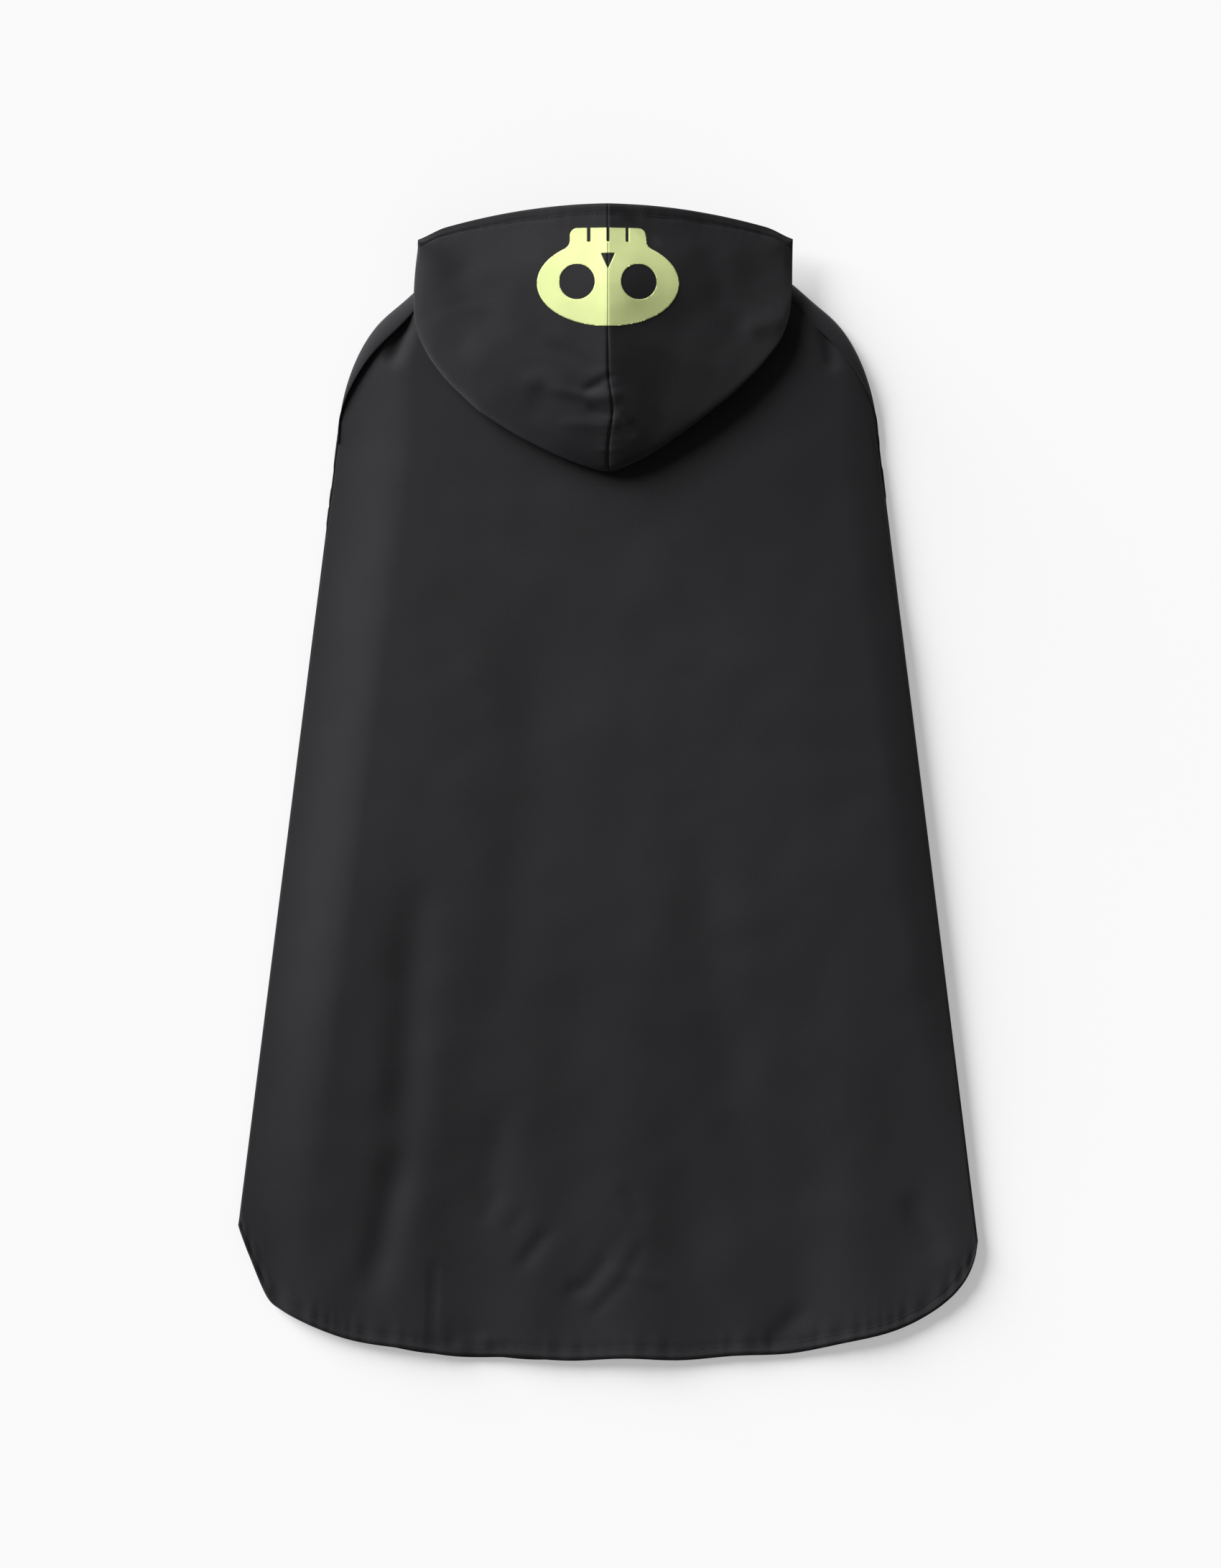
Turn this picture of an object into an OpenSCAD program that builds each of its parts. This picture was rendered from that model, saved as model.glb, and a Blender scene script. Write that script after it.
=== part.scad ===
// Child's hooded costume cape, laid out flat with its back upwards.
// The cloth layers are drawn a little thicker than real cloth, and each layer is its own solid.
// +X is the cape's right-hand side as it lies, +Y runs from the hem to the hood, +Z is up.

/* [Body] */
// Length from the hood's laid edge to the bottom of the hem
overall_l = 886; // [800:1:960]
// Width between the side folds just below the shoulders
shoulder_w = 414; // [390:1:440]
// Width between the side folds at the hem's corners
hem_w = 568; // [520:1:620]
// Width of the neck opening between the two shoulder points
neck_w = 180; // [160:1:200]
// Fall of the shoulder from the neck point to the straight side fold
shoulder_drop = 140; // [120:1:150]
// Rise of the hem from its middle to its corners
hem_rise = 107; // [90:1:120]
// Height of the puffed back above the floor
puff_h = 24; // [21:0.5:27]
// Radius of the side folds
fold_r = 6.5; // [5:0.5:7]
// Width of the strip that the back turns under at each side
turn_under = 24; // [18:1:30]
// Drawn thickness of one layer of cloth
cloth_t = 1; // [0.8:0.1:1.2]

/* [Hood] */
// Width of the hood as it lies
hood_w = 290; // [270:1:310]
// Length of the hood from its face edge to its point
hood_l = 207; // [190:1:220]
// Length of the hood's straight side fold
hood_side_l = 66; // [60:1:72]
// How far the face edge lies past the neck seam
hood_overhang = 52; // [48:1:56]
// Gap between the hood's two layers along its centre seam
hood_gap = 28; // [24:0.5:32]

/* [Fronts and closure] */
// Distance from the back neck seam down to the front neck edge
front_neck_drop = 46; // [40:1:50]
// Distance from the front neck edge to where each front can turn back
turn_start = 45; // [42:1:60]
// Height that the fixed under layer keeps so that a turned front fits below it
layer_lift = 2.3; // [2.3:0.1:2.6]
// Length of the closure tab
tab_l = 46; // [40:1:50]
// Width of the closure tab
tab_w = 20; // [16:1:24]

/* [Trim] */
// Distance of the topstitching from an edge
stitch_in = 7.7; // [6:0.1:9]
// Width of a topstitched thread line
thread_w = 0.8; // [0.6:0.1:1]
// Width of the printed skull
print_w = 108; // [100:1:132]

/* [Hidden] */

BLACK = [0.17, 0.17, 0.18];
THREAD = [0.08, 0.08, 0.09];
LIME = [0.86, 0.93, 0.55];
WHITE = [0.9, 0.9, 0.88];

half_l = overall_l / 2;
half_shoulder = shoulder_w / 2;
half_hem = hem_w / 2;
half_neck = neck_w / 2;
half_hood = hood_w / 2;
neck_y = half_l - hood_overhang;
neck_point_y = neck_y + 7;
side_y = neck_point_y - shoulder_drop;
corner_y = hem_rise - half_l;
side_slope = (half_hem - half_shoulder) / (side_y - corner_y);
front_neck_y = neck_y - front_neck_drop;
turn_y = front_neck_y - turn_start;
// Half of the slit between the two front edges
half_slit = 0.5;
// Height of the back at the neck edge and at the hem
neck_h = puff_h - 5;
hem_h = puff_h - 11;
// The side folds touch the floor above this height on the cape, and clear a turned front below it
touch_y = 160;
clear_y = 100;
// Fall of the shoulder seam below the shoulder's edge
seam_drop = 22;
hem_power = 2.8;
puff_power = 3;
hood_clear = 1.4;
tip_y = half_l - hood_l;
face_drop = 26;
hood_side_y = half_l - face_drop - 6 - hood_side_l;

function mix(a, b, t) = a + (b - a) * t;
function clip(t) = min(1, max(0, t));
function smooth(a, b, x) = let (t = clip((x - a) / (b - a))) t * t * (3 - 2 * t);
function side_x(y) = half_shoulder + max(0, side_y - y) * side_slope;

// Upper edge of the body: a shallow neck curve, then a quarter ellipse over each shoulder
function top_y(x) = abs(x) <= half_neck
    ? mix(neck_y, neck_point_y, pow(x / half_neck, 2))
    : side_y + shoulder_drop * sqrt(max(0, 1 - pow((abs(x) - half_neck) / (half_shoulder - half_neck), 2)));

// Lower edge of the body, with u from 0 at the middle to 1 at a corner
function hem_y(u, inset = 0) = corner_y
    - (hem_rise - inset) * pow(max(0, 1 - pow(abs(u), hem_power)), 1 / hem_power);

// Height of the fold's underside above the floor
function base_z(y) = layer_lift * smooth(touch_y, clear_y, y);

// Height of the back's outer face above the floor
function crown(y) = y > 0
    ? mix(puff_h, neck_h, smooth(0, neck_y, y))
    : mix(puff_h, hem_h, smooth(-60, -half_l, y));
function shoulder_fade(x, y) = abs(x) >= half_shoulder ? 1
    : mix(1, sqrt(1 - pow(1 - clip((top_y(x) - y) / 40), 2)), smooth(60, 105, abs(x)));
function dome(x, y, fade) = let (edge = base_z(y) + fold_r, u = clip(abs(x) / side_x(y)))
    edge + (crown(y) - edge) * pow(1 - pow(u, puff_power), 1 / puff_power) * fade;
function back_z(x, y) = dome(x, y, shoulder_fade(x, y));

// The shoulder seam leaves the neck point and meets the side fold
function seam_v(u) = (2 + seam_drop * smooth(0.35, 0.9, abs(u)) * (1 - pow(abs(u), 30))) / overall_l;
function back_v(u) = abs(u) * half_shoulder < half_neck - 10 ? 0 : seam_v(u) + 1 / overall_l;
function body_point(u, v) = [u * mix(half_shoulder, half_hem, v),
                             mix(top_y(u * half_shoulder), hem_y(u), v)];

// A closed solid between two grids of points, the cloth's outer and inner faces
module cloth(outer, inner) {
    rows = len(outer);
    cols = len(outer[0]);
    count = rows * cols;
    function at(face, i, j) = face * count + i * cols + j;
    quads = [
        for (i = [0:rows - 2], j = [0:cols - 2]) each [
            [at(0, i, j), at(0, i, j + 1), at(0, i + 1, j + 1), at(0, i + 1, j)],
            [at(1, i, j), at(1, i + 1, j), at(1, i + 1, j + 1), at(1, i, j + 1)]],
        for (j = [0:cols - 2]) each [
            [at(0, 0, j), at(1, 0, j), at(1, 0, j + 1), at(0, 0, j + 1)],
            [at(0, rows - 1, j), at(0, rows - 1, j + 1), at(1, rows - 1, j + 1), at(1, rows - 1, j)]],
        for (i = [0:rows - 2]) each [
            [at(0, i, 0), at(0, i + 1, 0), at(1, i + 1, 0), at(1, i, 0)],
            [at(0, i, cols - 1), at(1, i, cols - 1), at(1, i + 1, cols - 1), at(0, i + 1, cols - 1)]]];
    polyhedron(points = [for (grid = [outer, inner]) for (row = grid) each row],
               faces = [for (q = quads) each [[q[0], q[1], q[2]], [q[0], q[2], q[3]]]]);
}

module mirrored(side) {
    if (side < 0) mirror([1, 0, 0]) children();
    else children();
}

// Back: one wide panel with both side edges rolled under to the side seams

// A point of the rolled edge: how far in from the fold, and how high, for a step k under the cape
function roll(k, face) = let (r = fold_r - face * cloth_t, a = -30 * k)
    k < 4 ? [fold_r - r * cos(a), fold_r + r * sin(a)]
    : [turn_under, layer_lift + face * cloth_t];

function rolled_point(side, k, row, face) =
    let (v = mix(seam_v(1), 1, row), w = mix(half_shoulder, half_hem, v), p = roll(k, face),
         y = mix(side_y, k < 4 ? corner_y : seam_foot[1], v), lift = k < 4 ? base_z(y) : 0)
    [side * (w - p[0]), y, p[1] + lift];

function back_point(u, row, face) =
    let (p = body_point(u, mix(back_v(u), 1, row)))
    [p[0], p[1], back_z(p[0], p[1]) - face * cloth_t];

back_rows = 15;
back_cols = 18;
function back_grid(face) = [
    for (i = [0:back_rows - 1]) let (row = i / (back_rows - 1)) [
        for (k = [4:-1:0]) rolled_point(-1, k, row, face),
        for (j = [0:back_cols]) let (u = sin(mix(-78, 78, j / back_cols))) back_point(u, row, face),
        for (k = [0:4]) rolled_point(1, k, row, face)]];

module back_panel() {
    color(BLACK) cloth(back_grid(0), back_grid(1));
}

// Fronts: a fixed side with its shoulder roll, and a flap that turns back along a slanting line

seam_top = [half_shoulder - turn_under, side_y];
seam_foot_u = (half_hem - turn_under) / half_hem;
seam_foot = [half_hem - turn_under, hem_y(seam_foot_u)];
turn_top = [half_slit, turn_y];
yoke_in = turn_under - 3;

function front_neck(a) = [mix(half_slit, half_neck - yoke_in / 2, sin(a)),
                          front_neck_y + (front_neck_drop - 14) * (1 - cos(a))];
function yoke_edge(a) = [half_neck + (half_shoulder - half_neck - yoke_in) * sin(a),
                         side_y + (shoulder_drop - yoke_in) * cos(a)];

module side_outline() {
    polygon([turn_top, for (a = [0:15:75]) front_neck(a), for (a = [6:12:90]) yoke_edge(a),
             seam_top, seam_foot]);
}

module flap_outline() {
    polygon([turn_top, seam_foot,
             for (k = [1:10]) let (u = seam_foot_u * (1 - k / 10.0))
                 [max(half_slit, u * half_hem), hem_y(u)]]);
}

// The shoulder roll runs from the seam on the back, over the edge and under to the yoke
function roll_point(u, k, face) =
    let (edge = body_point(u, 0), to = [40, 190] - edge, way = to / norm(to),
         top = body_point(u, seam_v(u) * (1 - k / 2)), r = fold_r - face * cloth_t,
         reach = [fold_r - r * cos(45), fold_r, turn_under],
         high = [fold_r - r * sin(45), face * cloth_t, layer_lift + face * cloth_t])
    k <= 2
        ? let (p = k == 2 ? edge + way * face * cloth_t : top)
          [p[0], p[1], back_z(top[0], top[1]) - (k == 2 ? 0 : face * cloth_t)]
        : let (p = edge + way * reach[k - 3]) [p[0], p[1], high[k - 3]];

roll_cols = 12;
function roll_grid(face) = [
    for (k = [0:5]) [
        for (j = [0:roll_cols]) roll_point(sin(mix(27, 83, j / roll_cols)), k, face)]];

module front_side(side) {
    mirrored(side) {
        translate([0, 0, layer_lift]) linear_extrude(cloth_t) side_outline();
        cloth(roll_grid(1), roll_grid(0));
    }
}

module front_left_side() {
    color(BLACK) front_side(-1);
}

module front_right_side() {
    color(BLACK) front_side(1);
}

module front_left_flap() {
    color(BLACK) mirrored(-1) linear_extrude(cloth_t) flap_outline();
}

module front_right_flap() {
    color(BLACK) linear_extrude(cloth_t) flap_outline();
}

// Overlocked edges of the side seams, standing on the under layer inside the cape
overlock_w = 6;
module side_seam(side) {
    color(THREAD) mirrored(side) translate([0, 0, layer_lift + cloth_t]) linear_extrude(1)
        polygon([seam_top, seam_foot + [-0.5, 6], seam_foot + [-overlock_w, 6],
                 seam_top - [overlock_w, 0]]);
}

module left_side_seam() {
    side_seam(-1);
}

module right_side_seam() {
    side_seam(1);
}

// Tape over the neck seam, with a blank size label below it and a blank care label at one side
tape_w = 10;
label_t = 0.5;
function tape_grid(face) = [
    for (i = [0:1]) [
        for (j = [0:12]) let (x = mix(18 - half_neck, half_neck - 18, j / 12), y = top_y(x) - i * tape_w)
            [x, y, back_z(x, y) - cloth_t - 1 - 0.8 * face]]];

module neck_tape() {
    color(BLACK) cloth(tape_grid(0), tape_grid(1));
}

module size_label() {
    color(WHITE) translate([-15, neck_y - tape_w - 12, neck_h - cloth_t - 2 - label_t])
        cube([30, 18, label_t]);
}

care_y = -150;
care_size = [36, 25, label_t];
function seam_x(y) = mix(seam_top[0], seam_foot[0], (seam_top[1] - y) / (seam_top[1] - seam_foot[1]));

module care_label() {
    color(WHITE) translate([overlock_w - seam_x(care_y + care_size[1]), care_y, layer_lift + cloth_t])
        cube(care_size);
}

// Topstitching: one line along the back hem and one round each front flap
function hem_stitch(u, inset) = [u * (half_hem - inset), hem_y(u, inset)];
function hem_thread_grid(face) = [
    for (inset = [stitch_in, stitch_in + thread_w]) [
        for (j = [0:24]) let (p = hem_stitch(sin(mix(-74, 74, j / 24)), inset))
            [p[0], p[1], back_z(p[0], p[1]) + 0.45 - face * 0.35]]];

module back_hem_thread() {
    color(THREAD) cloth(hem_thread_grid(1), hem_thread_grid(0));
}

function flap_path(inset) = [
    [half_slit + inset, turn_y - 40],
    for (k = [0:9]) let (u = mix((half_slit + inset) / half_hem, seam_foot_u - 0.06, k / 9))
        hem_stitch(u, inset)];

module flap_thread() {
    outer = flap_path(stitch_in);
    inner = flap_path(stitch_in + thread_w);
    translate([0, 0, cloth_t]) linear_extrude(0.3)
        polygon(concat(outer, [for (k = [len(inner) - 1:-1:0]) inner[k]]));
}

module front_left_thread() {
    color(THREAD) mirrored(-1) flap_thread();
}

module front_right_thread() {
    color(THREAD) flap_thread();
}

// Hood: two halves, each a flattened pocket that folds at the point and is open along the face edge

// Each half is swept along its rim, from the point to the face edge's corner. A section runs
// from the neck seam, under the hood, round the rim and up over the top to the face edge.
function face_y(x) = half_l - face_drop * pow(x / half_hood, 2);
function root_y(x) = neck_y + 9 * pow(x / half_hood, 2);
function under_z(x, y) = dome(x, y, 1) + hood_clear;

// The rim is slanting up to this share of its length, then straight along the side
slant = 0.7;
function rim(s) = let (a = clip(s / slant), b = clip((s - slant) / (1 - slant)))
    [half_hood * a, mix(mix(tip_y, hood_side_y, pow(a, 1.25)), face_y(half_hood) - 4, b)];

// Height of the top above the under layer: highest along the centre seam, rounded at the rim
function rise(x, t) = hood_gap * (1 - 0.55 * pow(abs(x) / half_hood, 1.2))
    * pow(1 - pow(1 - t, 2.4), 1 / 2.4) * (1 - 0.25 * smooth(0.6, 1, t));
function mix_point(p, q, t) = [mix(p[0], q[0], t), mix(p[1], q[1], t)];

under_steps = 5;
top_steps = [0.03, 0.08, 0.16, 0.3, 0.5, 0.7, 0.85, 0.94, 1];
hood_steps = under_steps + len(top_steps);
// Half of the gap between the two halves at the centre seam
seam_x0 = 0.1;
function hood_point(side, s, k, deep) =
    let (r = rim(s), n = [half_hood * s, root_y(half_hood * s)], f = [half_hood * s, face_y(half_hood * s)],
         way = f - r, in = way / norm(way))
    k < under_steps
        ? let (p = mix_point(n, r + 4 * in, k / (under_steps - 1)))
          [side * max(seam_x0, p[0]), p[1], under_z(p[0], p[1]) + deep]
    : k == under_steps
        ? let (p = r + deep * in) [side * max(seam_x0, p[0]), p[1], under_z(r[0], r[1]) + 3.5]
    : let (t = top_steps[k - under_steps - 1], p = mix_point(r + deep * in, f, t))
        [side * max(seam_x0, p[0]), p[1], under_z(p[0], p[1]) + 3.5 + rise(p[0], t) + cloth_t - deep];

hood_cols = 12;
function hood_grid(deep) = [
    for (j = [0:hood_cols]) [
        for (k = [0:hood_steps]) hood_point(1, j / hood_cols, k, deep)]];

module hood_half(side) {
    mirrored(side) cloth(hood_grid(cloth_t), hood_grid(0));
}

module hood_left() {
    color(BLACK) hood_half(-1);
}

module hood_right() {
    color(BLACK) hood_half(1);
}

// Overlocked allowance of the centre seam, inside the hood
function seam_tape_grid(deep) = [
    for (side = [-1, 1]) [for (k = [0:hood_steps]) hood_point(side, 0.02, k, deep)]];

module hood_seam_tape() {
    color(THREAD) cloth(seam_tape_grid(cloth_t + 0.8), seam_tape_grid(cloth_t + 1.3));
}

// A point on the hood's upper layer, at a distance from the face edge
function face_point(side, s, inset, lift) =
    let (r = rim(s), f = [half_hood * s, face_y(half_hood * s)], t = 1 - inset / norm(f - r),
         p = mix_point(r, f, t))
    [side * p[0], p[1], under_z(p[0], p[1]) + 3.5 + rise(p[0], t) + cloth_t + lift];
function face_thread_grid(lift) = [
    for (inset = [stitch_in, stitch_in + thread_w]) [
        for (j = [-11:11]) face_point(sign(j), abs(j) / 12, inset, lift)]];

module hood_hem_thread() {
    color(THREAD) cloth(face_thread_grid(0.8), face_thread_grid(0.5));
}

// Printed plain skull, upside down as the hood lies: its teeth point to the face edge
print_y = face_y(0) - 59;
tooth_gap = 2.4;
module skull_outline() {
    brow = print_w / 2;
    jaw = print_w * 0.27;
    chin = 37;
    difference() {
        union() {
            translate([0, -5]) scale([1, 0.61]) circle(brow, $fn = 48);
            hull() {
                translate([-jaw, 0]) square([2 * jaw, 20]);
                for (side = [-1, 1]) translate([side * (jaw - 6), chin - 6]) circle(6, $fn = 24);
            }
        }
        for (side = [-1, 1])
            translate([side * print_w * 0.218, -4]) circle(print_w * 0.125, $fn = 32);
        for (k = [-1:1])
            translate([k * jaw / 2 - tooth_gap / 2, chin - 9.5]) square([tooth_gap, 12]);
        translate([0, 5.5]) polygon([[0, 0], [5.4, 12], [-5.4, 12]]);
    }
}

module print_half(side) {
    far = print_w * 0.47;
    middle = face_point(0, 0, half_l - print_y, 0.7);
    fall = middle[2] - face_point(1, far / half_hood, half_l - print_y, 0.7)[2];
    color(LIME) translate(middle) rotate([0, side * atan(fall / far), 0])
        linear_extrude(0.3) intersection() {
            skull_outline();
            translate([side < 0 ? -print_w : 0.2, -print_w]) square([print_w - 0.2, 2 * print_w]);
        }
}

module hood_print_left() {
    print_half(-1);
}

module hood_print_right() {
    print_half(1);
}

// Closure: a tab sewn to the right front, holding by hook tape to loop tape under the left front
tab_root_x = 12;
tab_t = 0.8;
patch_l = tab_w;
tab_y = front_neck_y - tab_w - 7;

module closure_tab() {
    color(BLACK) translate([tab_root_x - tab_l, tab_y, 0]) cube([tab_l, tab_w, tab_t]);
}

module hook_patch() {
    color(THREAD) translate([tab_root_x - tab_l + 1, tab_y + 1, tab_t]) cube([patch_l, tab_w - 2, 0.5]);
}

module loop_patch() {
    color(THREAD) translate([tab_root_x - tab_l + 1, tab_y + 1, layer_lift - 0.6])
        cube([patch_l, tab_w - 2, 0.6]);
}

back_panel();
front_left_side();
front_right_side();
front_left_flap();
front_right_flap();
left_side_seam();
right_side_seam();
neck_tape();
size_label();
care_label();
back_hem_thread();
front_left_thread();
front_right_thread();
hood_left();
hood_right();
hood_seam_tape();
hood_hem_thread();
hood_print_left();
hood_print_right();
closure_tab();
hook_patch();
loop_patch();
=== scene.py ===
"""Child's hooded costume cape, laid flat with its back upwards on a pale floor."""

import math

import bmesh
import bpy
import numpy as np
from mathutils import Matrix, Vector, noise
from mathutils.bvhtree import BVHTree


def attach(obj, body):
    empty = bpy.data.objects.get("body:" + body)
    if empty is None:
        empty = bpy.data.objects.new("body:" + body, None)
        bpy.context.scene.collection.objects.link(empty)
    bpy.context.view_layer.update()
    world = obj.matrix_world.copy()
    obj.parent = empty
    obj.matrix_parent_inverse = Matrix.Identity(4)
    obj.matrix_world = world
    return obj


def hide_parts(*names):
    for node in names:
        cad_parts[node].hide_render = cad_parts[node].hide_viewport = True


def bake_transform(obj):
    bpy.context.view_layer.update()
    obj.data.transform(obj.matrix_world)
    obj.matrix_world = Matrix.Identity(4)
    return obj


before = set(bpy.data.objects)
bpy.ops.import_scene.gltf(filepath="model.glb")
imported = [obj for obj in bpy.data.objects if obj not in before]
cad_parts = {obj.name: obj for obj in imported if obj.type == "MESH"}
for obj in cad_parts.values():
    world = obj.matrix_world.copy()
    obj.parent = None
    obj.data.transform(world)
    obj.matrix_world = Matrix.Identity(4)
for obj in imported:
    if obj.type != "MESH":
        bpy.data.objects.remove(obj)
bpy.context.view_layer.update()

# ---------------------------------------------------------------- studio
# A plain pale floor, one broad soft key light from the upper left and an even fill.
# The camera looks straight down on the cape's back.

FRAME_HEIGHT = 1.2012  # what the picture takes in from its bottom to its top
FRAME_Z = 0.012  # the height above the floor at which it takes that in
CAMERA_AT = (0.0019, -0.0015, 5.0)
SENSOR = 36
KEY_FROM = (-0.69, 0.58, 0.35)
KEY_STRENGTH = 7.5
KEY_SPREAD = 40  # degrees
FILL_STRENGTH = 0.16
WALL_GREY, FLOOR_GREY = 0.956, 0.57
FLOOR_GLOW = 0.37  # painted light: the floor glows by itself, which keeps the shadows cast on it light
FLOOR_Z = -0.0004  # just clear of the lowest stitches

bpy.context.scene.view_settings.view_transform = "Standard"

world = bpy.data.worlds.new("pale_room")
world.use_nodes = True
room = world.node_tree
room.nodes["Background"].inputs["Color"].default_value = (1, 1, 1, 1)
room.nodes["Background"].inputs["Strength"].default_value = FILL_STRENGTH
wall = room.nodes.new("ShaderNodeBackground")  # the pale wall that low views see past the floor
wall.inputs["Color"].default_value = (WALL_GREY, WALL_GREY, WALL_GREY, 1)
seen = room.nodes.new("ShaderNodeLightPath")
either = room.nodes.new("ShaderNodeMixShader")
room.links.new(seen.outputs["Is Camera Ray"], either.inputs[0])
room.links.new(room.nodes["Background"].outputs[0], either.inputs[1])
room.links.new(wall.outputs[0], either.inputs[2])
room.links.new(either.outputs[0], room.nodes["World Output"].inputs["Surface"])
bpy.context.scene.world = world

key = bpy.data.objects.new("key_light", bpy.data.lights.new("key_light", "SUN"))
key.data.energy = KEY_STRENGTH
key.data.angle = math.radians(KEY_SPREAD)
key.rotation_euler = Vector(KEY_FROM).to_track_quat("Z", "Y").to_euler()
bpy.context.collection.objects.link(key)

camera = bpy.data.objects.new("camera", bpy.data.cameras.new("camera"))
camera.location = CAMERA_AT
camera.data.sensor_width = SENSOR
camera.data.lens = SENSOR * (CAMERA_AT[2] - FRAME_Z) / FRAME_HEIGHT
camera.data.clip_end = 100
bpy.context.collection.objects.link(camera)
bpy.context.scene.camera = camera

bpy.ops.object.select_all(action="DESELECT")
bpy.ops.mesh.primitive_plane_add(size=60, location=(0, 0, FLOOR_Z))
floor = bpy.context.object
floor.name = "floor"
paint = bpy.data.materials.new("pale_floor")
paint.use_nodes = True
panel = paint.node_tree.nodes["Principled BSDF"].inputs
panel["Base Color"].default_value = (FLOOR_GREY, FLOOR_GREY, FLOOR_GREY, 1)
# painted light: the floor's own glow lightens the shadows that fall on it
panel["Emission Color"].default_value = (1, 1, 1, 1)
panel["Emission Strength"].default_value = FLOOR_GLOW
panel["Roughness"].default_value = 0.9
panel["Specular IOR Level"].default_value = 0.0
floor.data.materials.append(paint)

# ---------------------------------------------------------------- back panel
# One wide panel of light black woven polyester. Both its side edges roll under to the side
# seams, its hem is turned up twice and its top is sewn into the neck and shoulder seams.

HALF_L, HALF_SHOULDER, HALF_HEM, HALF_NECK = 0.443, 0.207, 0.284, 0.090
NECK_Y, NECK_POINT_Y, SIDE_Y, CORNER_Y = 0.391, 0.398, 0.258, -0.336
SHOULDER_DROP, HEM_RISE = 0.140, 0.107
PUFF, FOLD_R, TURN_UNDER, LIFT = 0.024, 0.0038, 0.024, 0.0023
CLOTH = 0.0005
HEM_W = 0.0077
HEM_BOW = 2.8  # how square the hem's curve is, where 2 would be an ellipse
SHOULDER_SAG, SAG_X, SAG_WIDTH = 0.0045, 0.158, 0.018


def mix(a, b, t):
    return a + (b - a) * t


def smooth(a, b, x):
    t = np.clip((x - a) / (b - a), 0, 1)
    return t * t * (3 - 2 * t)


def side_x(y):
    slope = (HALF_HEM - HALF_SHOULDER) / (SIDE_Y - CORNER_Y)
    return HALF_SHOULDER + np.maximum(0, SIDE_Y - y) * slope


def top_y(x):
    """The body's upper edge: a shallow neck curve, then a quarter ellipse over each shoulder."""
    x = np.abs(x)
    neck = mix(NECK_Y, NECK_POINT_Y, (x / HALF_NECK) ** 2)
    out = np.clip((x - HALF_NECK) / (HALF_SHOULDER - HALF_NECK), 0, 1)
    sag = SHOULDER_SAG * np.exp(-(((x - SAG_X) / SAG_WIDTH) ** 2))
    return np.where(x <= HALF_NECK, neck, SIDE_Y + SHOULDER_DROP * np.sqrt(1 - out**2) - sag)


def hem_y(u, inset=0.0):
    """The body's lower edge, with u from 0 at the middle to 1 at a corner."""
    curve = np.maximum(0, 1 - np.abs(u) ** HEM_BOW) ** (1 / HEM_BOW)
    # the left corner lies less round: a slanting line cuts it, with both its bends eased
    slant, ease = 6.6 * np.sqrt((1 + u) ** 2 + 0.016 * np.maximum(0, 1 + u)), 0.08
    share = np.clip(0.5 + (slant - curve) / (2 * ease), 0, 1)
    cut = mix(slant, curve, share) - ease * share * (1 - share) * smooth(-1, -0.97, u)
    curve = np.where(u < 0, cut, curve)
    wave = 0.0009 * np.sin(u * 21 + 0.6) * (1 - np.abs(u) ** 4)
    return CORNER_Y - (HEM_RISE - inset) * curve + wave * (np.abs(u) < 1)


def base_z(y):
    """The side folds rest on the floor at the shoulders and are held a little up lower down."""
    return LIFT * smooth(0.160, 0.100, y)


def ripples(x, y, size, seed):
    """Soft uneven ripples from -1 to 1, of about that size."""
    return np.array([noise.noise(Vector((a / size, b / size, seed))) for a, b in zip(x, y)])


# Creases of the laid cloth: two ends, half of the width and the height, all in metres
CREASES = [
    (-0.146, -0.090, -0.160, -0.300, 0.0170, -0.0034),
    (-0.160, -0.290, -0.180, -0.385, 0.0130, -0.0030),
    (-0.134, -0.370, -0.135, -0.437, 0.0025, -0.0010),
    (-0.070, -0.376, -0.038, -0.338, 0.0080, -0.0007),
    (-0.066, -0.370, -0.048, -0.346, 0.0046, -0.0009),
    (-0.030, -0.398, 0.012, -0.346, 0.0080, -0.0007),
    (-0.031, -0.390, -0.014, -0.387, 0.0045, -0.0010),
    (-0.015, -0.387, -0.001, -0.366, 0.0045, -0.0009),
    (-0.012, -0.409, 0.014, -0.381, 0.0046, -0.0009),
    (0.013, -0.380, 0.026, -0.355, 0.0048, -0.0008),
    (0.004, -0.374, 0.042, -0.384, 0.0050, 0.0007),
    (0.013, -0.311, 0.026, -0.333, 0.0055, -0.0007),
    (-0.097, -0.337, -0.083, -0.313, 0.0055, -0.0006),
    (-0.075, -0.344, -0.064, -0.327, 0.0050, -0.0006),
    (-0.095, -0.330, -0.080, -0.250, 0.0130, -0.0012),
    (-0.130, -0.440, -0.085, -0.428, 0.0060, 0.0012),
    (0.120, -0.436, 0.150, -0.405, 0.0080, -0.0013),
    (0.230, -0.322, 0.254, -0.362, 0.0090, -0.0014),
    (0.070, -0.060, 0.110, -0.330, 0.0220, -0.0018),
    (-0.050, 0.120, -0.080, -0.180, 0.0260, -0.0014),
    (-0.153, 0.356, -0.166, 0.322, 0.0070, -0.0060),
    (0.166, 0.350, 0.172, 0.318, 0.0060, -0.0030),
]


def creased(x, y, creases):
    height = np.zeros_like(x)
    for ax, ay, bx, by, width, rise in creases:
        dx, dy = bx - ax, by - ay
        along = ((x - ax) * dx + (y - ay) * dy) / (dx * dx + dy * dy)
        near = np.clip(along, 0, 1)
        gap = np.hypot(x - ax - near * dx, y - ay - near * dy)
        ends = smooth(-0.25, 0.25, along) * smooth(1.25, 0.75, along)
        height += rise * np.exp(-((gap / width) ** 2)) * ends
    return height


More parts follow.
